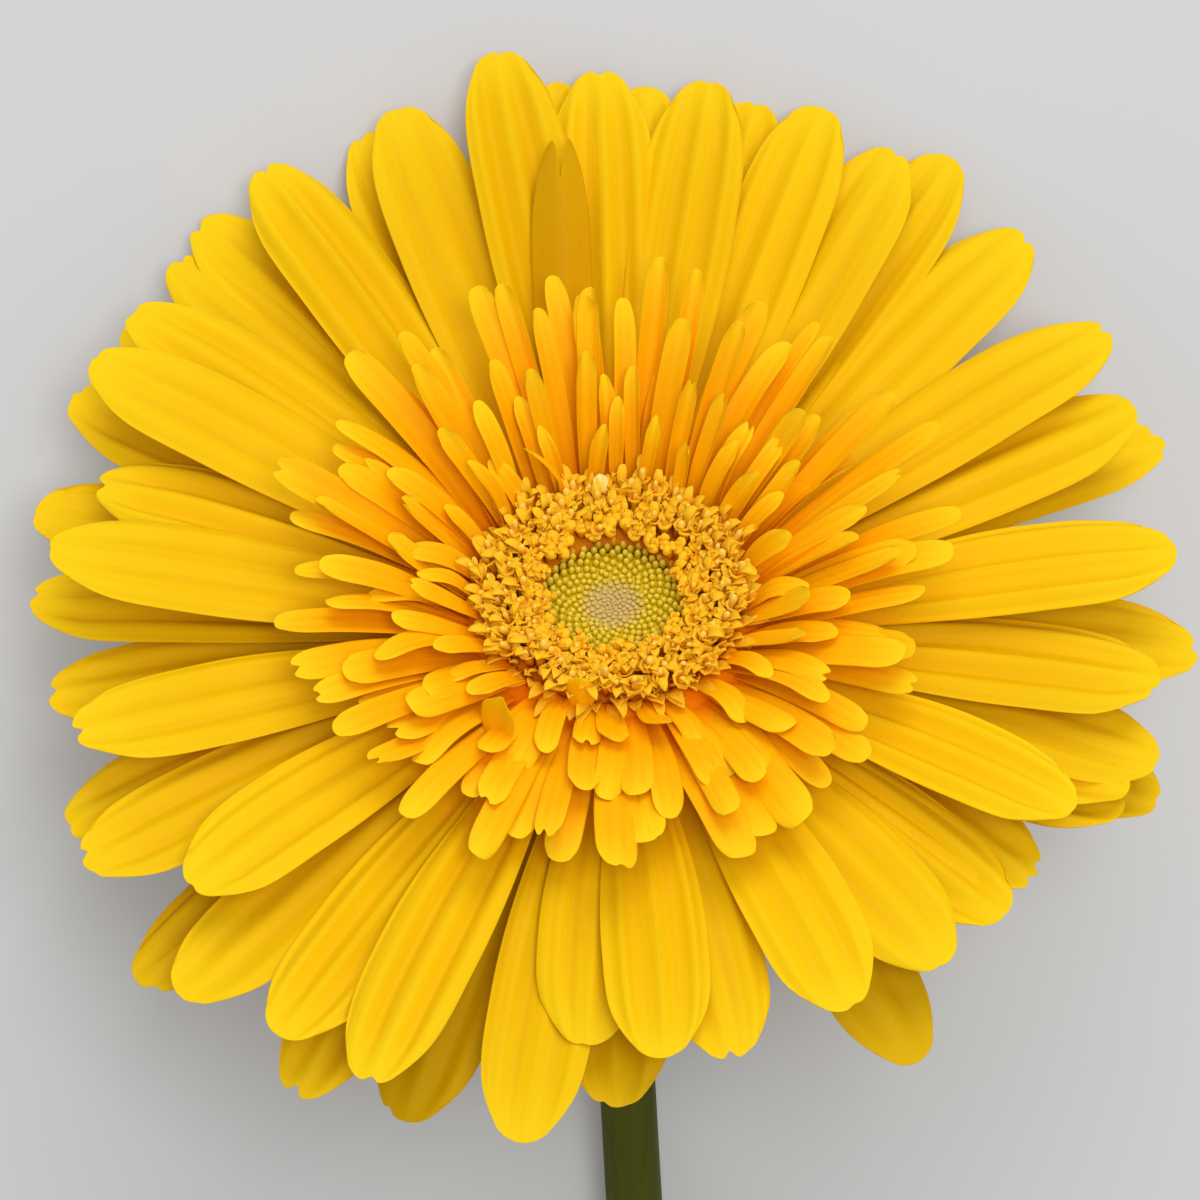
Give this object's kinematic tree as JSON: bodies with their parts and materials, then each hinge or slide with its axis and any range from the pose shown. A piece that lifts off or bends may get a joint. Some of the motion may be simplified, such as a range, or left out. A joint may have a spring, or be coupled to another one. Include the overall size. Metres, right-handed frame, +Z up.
{
  "type": "gerbera flower",
  "caption": "Cut yellow gerbera lying on its side: a daisy-like bloom with layered rays, a ringed disc and green bracts, on a bare curved stalk.",
  "frame": {"origin": "middle of the base of the bounding box, on the surface that the flower lies on", "axes": "+Y along the stalk from its cut end to the bloom, +Z up from the surface"},
  "size_m": [0.1114, 0.284, 0.0675],
  "materials": {
    "outer_ray": "soft satin petal, bright yellow, with fine lengthwise veins",
    "inner_ray": "soft satin petal, golden yellow towards the root",
    "floret": "matt golden florets",
    "bud": "waxy pale green buds",
    "bract": "matt green with fine down",
    "stalk": "satin olive green with fine down"
  },
  "bodies": {
    "root": {"outer_rays": "outer_ray", "inner_rays": "inner_ray", "disc_florets": "floret", "disc_buds": "bud", "bracts": "bract", "stalk": "stalk"}
  },
  "joints": []
}
